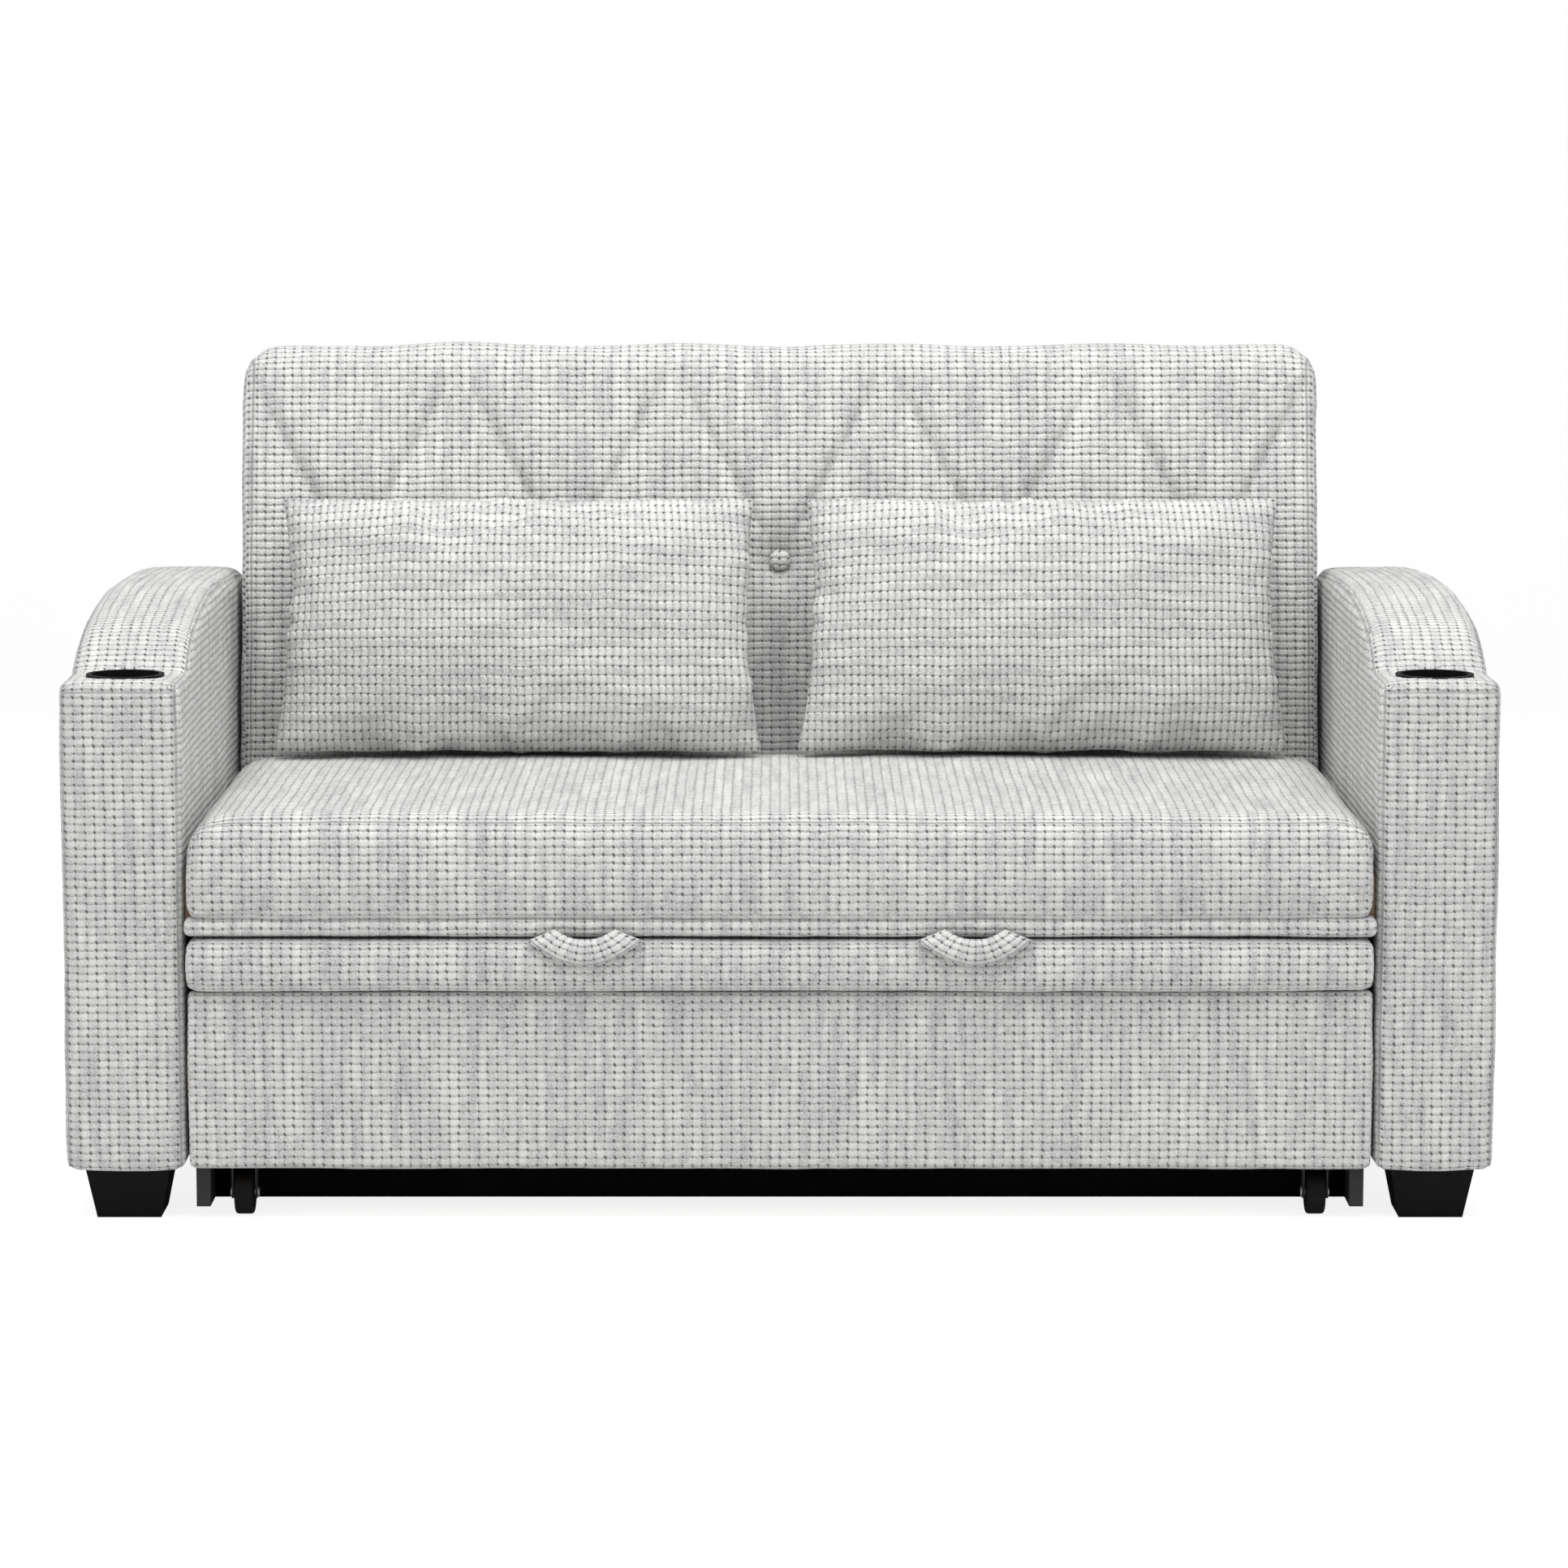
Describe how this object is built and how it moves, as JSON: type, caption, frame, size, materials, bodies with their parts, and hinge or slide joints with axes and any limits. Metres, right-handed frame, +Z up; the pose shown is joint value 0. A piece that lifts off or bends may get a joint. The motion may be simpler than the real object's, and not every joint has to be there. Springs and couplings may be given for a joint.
{
  "type": "sleeper sofa",
  "caption": "Upholstered sofa with a tufted click-clack backrest, cup-holder arms, loose pillows and a wheeled pull-out bed under the seat.",
  "frame": {"origin": "centre of the sofa's footprint, on the floor", "axes": "+X to the right of someone who faces the sofa, +Y to its rear, +Z up"},
  "size_m": [1.65, 0.8822, 0.9784],
  "materials": {
    "sofa_fabric": "light grey waffle-weave chenille",
    "pillow_fabric": "light grey waffle-weave chenille",
    "plywood": "unfinished plywood",
    "softwood": "unfinished softwood",
    "grey_board": "dark grey laminated board",
    "black_board": "black painted board",
    "webbing": "woven elastic webbing",
    "black_plastic": "black moulded plastic",
    "foot_plastic": "near-black moulded plastic",
    "glide_plastic": "white nylon",
    "black_steel": "black painted steel",
    "zinc_steel": "zinc plated steel"
  },
  "bodies": {
    "base": {"left_arm_cover": "sofa_fabric", "left_arm_frame": "plywood", "left_cup_holder": "black_plastic", "front_left_foot": "foot_plastic", "rear_left_foot": "foot_plastic", "right_arm_cover": "sofa_fabric", "right_arm_frame": "plywood", "right_cup_holder": "black_plastic", "front_right_foot": "foot_plastic", "rear_right_foot": "foot_plastic", "foot_bolts": "zinc_steel", "seat_front_rail": "sofa_fabric", "seat_beams": "softwood", "left_seat_rail": "softwood", "right_seat_rail": "softwood", "seat_stretchers": "softwood", "seat_webbing": "webbing", "frame_bolts": "zinc_steel", "seat_cushion": "sofa_fabric", "left_hinge_bracket": "black_steel", "right_hinge_bracket": "black_steel", "hinge_pins": "zinc_steel", "ratchet_discs": "zinc_steel", "travel_stops": "softwood", "rear_panel_board": "plywood", "rear_panel_cover": "sofa_fabric"},
    "backrest": {"back_stiles": "softwood", "back_rails": "softwood", "back_webbing": "webbing", "back_cushion": "sofa_fabric", "back_buttons": "sofa_fabric", "back_cover": "sofa_fabric", "left_hinge_arm": "black_steel", "right_hinge_arm": "black_steel", "detent_springs": "zinc_steel"},
    "trolley": {"left_trolley_side": "grey_board", "right_trolley_side": "grey_board", "trolley_front_board": "plywood", "trolley_base_boards": "plywood", "kick_board": "black_board", "trolley_rear_board": "plywood", "platform_board": "plywood", "side_glides": "glide_plastic", "front_panel": "sofa_fabric", "platform_cushion": "sofa_fabric", "left_pull_loop": "sofa_fabric", "right_pull_loop": "sofa_fabric", "lift_plates": "black_steel", "lift_brackets": "black_steel", "lift_links": "black_steel", "lift_pins": "zinc_steel", "lift_struts": "black_steel", "caster_forks": "black_steel", "caster_axles": "zinc_steel"},
    "front_left_wheel_body": {"front_left_wheel": "black_plastic"},
    "front_right_wheel_body": {"front_right_wheel": "black_plastic"},
    "rear_left_wheel_body": {"rear_left_wheel": "black_plastic"},
    "rear_right_wheel_body": {"rear_right_wheel": "black_plastic"},
    "left_pillow_body": {"left_pillow": "pillow_fabric"},
    "right_pillow_body": {"right_pillow": "pillow_fabric"}
  },
  "joints": [
    {"name": "back_recline", "type": "hinge", "parent": "base", "child": "backrest", "pos_m": [0, 0.2345, 0.427], "axis": [-1, 0, 0], "range_deg": [0, 78]},
    {"name": "trolley_slide", "type": "slide", "parent": "base", "child": "trolley", "axis": [0, -1, 0], "range_m": [0, 0.6]},
    {"name": "front_left_wheel_turn", "type": "hinge", "parent": "trolley", "child": "front_left_wheel_body", "pos_m": [-0.622, -0.358, 0.0265], "axis": [1, 0, 0], "continuous": true},
    {"name": "front_right_wheel_turn", "type": "hinge", "parent": "trolley", "child": "front_right_wheel_body", "pos_m": [0.622, -0.358, 0.0265], "axis": [1, 0, 0], "continuous": true},
    {"name": "rear_left_wheel_turn", "type": "hinge", "parent": "trolley", "child": "rear_left_wheel_body", "pos_m": [-0.622, 0.266, 0.0265], "axis": [1, 0, 0], "continuous": true},
    {"name": "rear_right_wheel_turn", "type": "hinge", "parent": "trolley", "child": "rear_right_wheel_body", "pos_m": [0.622, 0.266, 0.0265], "axis": [1, 0, 0], "continuous": true},
    {"name": "left_pillow_lift", "type": "slide", "parent": "backrest", "child": "left_pillow_body", "axis": [0, -0.7071, 0.7071], "range_m": [0, 0.45]},
    {"name": "right_pillow_lift", "type": "slide", "parent": "backrest", "child": "right_pillow_body", "axis": [0, -0.7071, 0.7071], "range_m": [0, 0.45]}
  ],
  "couplings": [
    {"joint": "front_left_wheel_turn", "follows": "trolley_slide", "rad_per_m": 38.462},
    {"joint": "front_right_wheel_turn", "follows": "trolley_slide", "rad_per_m": 38.462},
    {"joint": "rear_left_wheel_turn", "follows": "trolley_slide", "rad_per_m": 38.462},
    {"joint": "rear_right_wheel_turn", "follows": "trolley_slide", "rad_per_m": 38.462}
  ]
}
